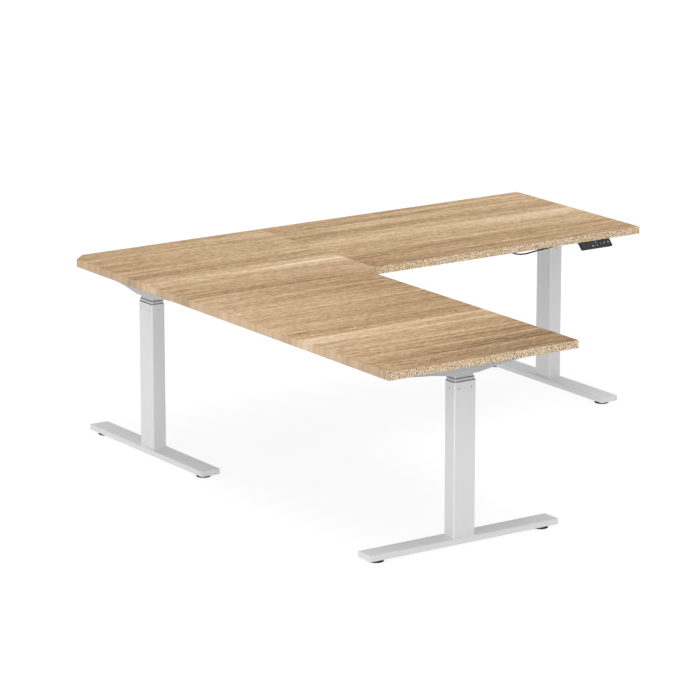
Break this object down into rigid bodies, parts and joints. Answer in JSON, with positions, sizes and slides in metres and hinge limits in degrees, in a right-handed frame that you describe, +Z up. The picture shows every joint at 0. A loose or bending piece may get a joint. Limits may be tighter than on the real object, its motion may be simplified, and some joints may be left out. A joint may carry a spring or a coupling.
{
  "type": "corner standing desk",
  "caption": "L-shaped corner desk with an oak top in three boards on electric telescopic legs that raise and lower it, and a push-button handset under the right wing.",
  "frame": {"origin": "on the floor, under the middle of the square that the L-shaped top fits", "axes": "+X along the back edge towards the right wing's end, -Y towards the front wing's end, +Z up"},
  "size_m": [1.85, 1.85, 0.615],
  "materials": {
    "oak_board": "light oak melamine on chipboard, satin",
    "frame_paint": "light silver-grey powder coat",
    "guide_plastic": "moulded",
    "screw_steel": "rolled and greased",
    "glide_rubber": "matt black",
    "key_plastic": "satin black with a printed light sign",
    "zinc_steel": "zinc plated",
    "nut_polymer": "moulded acetal",
    "case_plastic": "fine grained black",
    "motor_shell": "black paint on a drawn steel can",
    "circuit_board": "green solder mask",
    "window_gloss": "gloss black film",
    "cable_jacket": "matt black sheath"
  },
  "bodies": {
    "corner_base": {"corner_foot": "frame_paint", "corner_outer_tube": "frame_paint", "corner_outer_guide": "guide_plastic", "corner_lift_screw": "screw_steel"},
    "corner_middle": {"corner_middle_tube": "frame_paint", "corner_middle_guide": "guide_plastic"},
    "corner_screw": {"corner_screw_tube": "screw_steel"},
    "corner_shaft": {"corner_drive_shaft": "screw_steel"},
    "corner_glide_rear": {"corner_glide_rear": "glide_rubber"},
    "corner_glide_front": {"corner_glide_front": "glide_rubber"},
    "right_base": {"right_foot": "frame_paint", "right_outer_tube": "frame_paint", "right_outer_guide": "guide_plastic", "right_lift_screw": "screw_steel"},
    "right_middle": {"right_middle_tube": "frame_paint", "right_middle_guide": "guide_plastic"},
    "right_screw": {"right_screw_tube": "screw_steel"},
    "right_shaft": {"right_drive_shaft": "screw_steel"},
    "right_glide_front": {"right_glide_front": "glide_rubber"},
    "right_glide_rear": {"right_glide_rear": "glide_rubber"},
    "front_base": {"front_foot": "frame_paint", "front_outer_tube": "frame_paint", "front_outer_guide": "guide_plastic", "front_lift_screw": "screw_steel"},
    "front_middle": {"front_middle_tube": "frame_paint", "front_middle_guide": "guide_plastic"},
    "front_screw": {"front_screw_tube": "screw_steel"},
    "front_shaft": {"front_drive_shaft": "screw_steel"},
    "front_glide_left": {"front_glide_left": "glide_rubber"},
    "front_glide_right": {"front_glide_right": "glide_rubber"},
    "top": {"corner_inner_tube": "frame_paint", "corner_arm": "frame_paint", "right_inner_tube": "frame_paint", "right_arm": "frame_paint", "front_inner_tube": "frame_paint", "front_arm": "frame_paint", "corner_panel": "oak_board", "right_panel": "oak_board", "front_panel": "oak_board", "joining_plates": "zinc_steel", "main_beam": "frame_paint", "side_beam": "frame_paint", "tee_bracket": "frame_paint", "spindle_nuts": "nut_polymer", "gearboxes": "case_plastic", "motors": "motor_shell", "control_box": "case_plastic", "control_board": "circuit_board", "handset_housing": "case_plastic", "handset_window": "window_gloss", "handset_cable": "cable_jacket", "cable_clips": "case_plastic", "wood_screws": "zinc_steel", "frame_bolts": "zinc_steel"},
    "up_key": {"up_key": "key_plastic"},
    "down_key": {"down_key": "key_plastic"},
    "set_key": {"set_key": "key_plastic"},
    "memory_key_1": {"memory_key_1": "key_plastic"},
    "memory_key_2": {"memory_key_2": "key_plastic"},
    "memory_key_3": {"memory_key_3": "key_plastic"}
  },
  "joints": [
    {"name": "lift", "type": "slide", "parent": "corner_base", "child": "top", "axis": [0, 0, 1], "range_m": [0, 0.65]},
    {"name": "corner_middle_slide", "type": "slide", "parent": "corner_base", "child": "corner_middle", "axis": [0, 0, 1], "range_m": [0, 0.3255]},
    {"name": "corner_screw_turn", "type": "hinge", "parent": "corner_middle", "child": "corner_screw", "pos_m": [-0.82, 0.575, 0.3], "axis": [0, 0, 1], "range_deg": [0, 11705]},
    {"name": "corner_shaft_turn", "type": "hinge", "parent": "top", "child": "corner_shaft", "pos_m": [-0.82, 0.575, 0.3], "axis": [0, 0, 1], "range_deg": [0, 11705]},
    {"name": "corner_glide_rear_level", "type": "slide", "parent": "corner_base", "child": "corner_glide_rear", "axis": [0, 0, -1], "range_m": [0, 0.01]},
    {"name": "corner_glide_front_level", "type": "slide", "parent": "corner_base", "child": "corner_glide_front", "axis": [0, 0, -1], "range_m": [0, 0.01]},
    {"name": "right_middle_slide", "type": "slide", "parent": "top", "child": "right_middle", "axis": [0, 0, -1], "range_m": [0, 0.3255]},
    {"name": "right_base_slide", "type": "slide", "parent": "top", "child": "right_base", "axis": [0, 0, -1], "range_m": [0, 0.6505]},
    {"name": "right_screw_turn", "type": "hinge", "parent": "right_middle", "child": "right_screw", "pos_m": [0.805, 0.575, 0.3], "axis": [0, 0, 1], "range_deg": [0, 11705]},
    {"name": "right_shaft_turn", "type": "hinge", "parent": "top", "child": "right_shaft", "pos_m": [0.805, 0.575, 0.3], "axis": [0, 0, 1], "range_deg": [0, 11705]},
    {"name": "right_glide_front_level", "type": "slide", "parent": "right_base", "child": "right_glide_front", "axis": [0, 0, -1], "range_m": [0, 0.01]},
    {"name": "right_glide_rear_level", "type": "slide", "parent": "right_base", "child": "right_glide_rear", "axis": [0, 0, -1], "range_m": [0, 0.01]},
    {"name": "front_middle_slide", "type": "slide", "parent": "top", "child": "front_middle", "axis": [0, 0, -1], "range_m": [0, 0.3255]},
    {"name": "front_base_slide", "type": "slide", "parent": "top", "child": "front_base", "axis": [0, 0, -1], "range_m": [0, 0.6505]},
    {"name": "front_screw_turn", "type": "hinge", "parent": "front_middle", "child": "front_screw", "pos_m": [-0.575, -0.8, 0.3], "axis": [0, 0, 1], "range_deg": [0, 11705]},
    {"name": "front_shaft_turn", "type": "hinge", "parent": "top", "child": "front_shaft", "pos_m": [-0.575, -0.8, 0.3], "axis": [0, 0, 1], "range_deg": [0, 11705]},
    {"name": "front_glide_left_level", "type": "slide", "parent": "front_base", "child": "front_glide_left", "axis": [0, 0, -1], "range_m": [0, 0.01]},
    {"name": "front_glide_right_level", "type": "slide", "parent": "front_base", "child": "front_glide_right", "axis": [0, 0, -1], "range_m": [0, 0.01]},
    {"name": "up_key_press", "type": "slide", "parent": "top", "child": "up_key", "axis": [0, 0.7071, -0.7071], "range_m": [0, 0.0005], "stiffness_N_per_m": 800, "springref_m": -0.0008},
    {"name": "down_key_press", "type": "slide", "parent": "top", "child": "down_key", "axis": [0, 0.7071, -0.7071], "range_m": [0, 0.0005], "stiffness_N_per_m": 800, "springref_m": -0.0008},
    {"name": "set_key_press", "type": "slide", "parent": "top", "child": "set_key", "axis": [0, 0.7071, -0.7071], "range_m": [0, 0.0005], "stiffness_N_per_m": 800, "springref_m": -0.0008},
    {"name": "memory_key_1_press", "type": "slide", "parent": "top", "child": "memory_key_1", "axis": [0, 0.7071, -0.7071], "range_m": [0, 0.0005], "stiffness_N_per_m": 800, "springref_m": -0.0008},
    {"name": "memory_key_2_press", "type": "slide", "parent": "top", "child": "memory_key_2", "axis": [0, 0.7071, -0.7071], "range_m": [0, 0.0005], "stiffness_N_per_m": 800, "springref_m": -0.0008},
    {"name": "memory_key_3_press", "type": "slide", "parent": "top", "child": "memory_key_3", "axis": [0, 0.7071, -0.7071], "range_m": [0, 0.0005], "stiffness_N_per_m": 800, "springref_m": -0.0008}
  ],
  "couplings": [
    {"joint": "corner_middle_slide", "follows": "lift", "ratio": 0.5},
    {"joint": "corner_screw_turn", "follows": "lift", "rad_per_m": 314.16},
    {"joint": "corner_shaft_turn", "follows": "lift", "rad_per_m": 314.16},
    {"joint": "right_base_slide", "follows": "lift", "ratio": 1},
    {"joint": "right_middle_slide", "follows": "lift", "ratio": 0.5},
    {"joint": "right_screw_turn", "follows": "lift", "rad_per_m": 314.16},
    {"joint": "right_shaft_turn", "follows": "lift", "rad_per_m": 314.16},
    {"joint": "front_base_slide", "follows": "lift", "ratio": 1},
    {"joint": "front_middle_slide", "follows": "lift", "ratio": 0.5},
    {"joint": "front_screw_turn", "follows": "lift", "rad_per_m": 314.16},
    {"joint": "front_shaft_turn", "follows": "lift", "rad_per_m": 314.16}
  ]
}
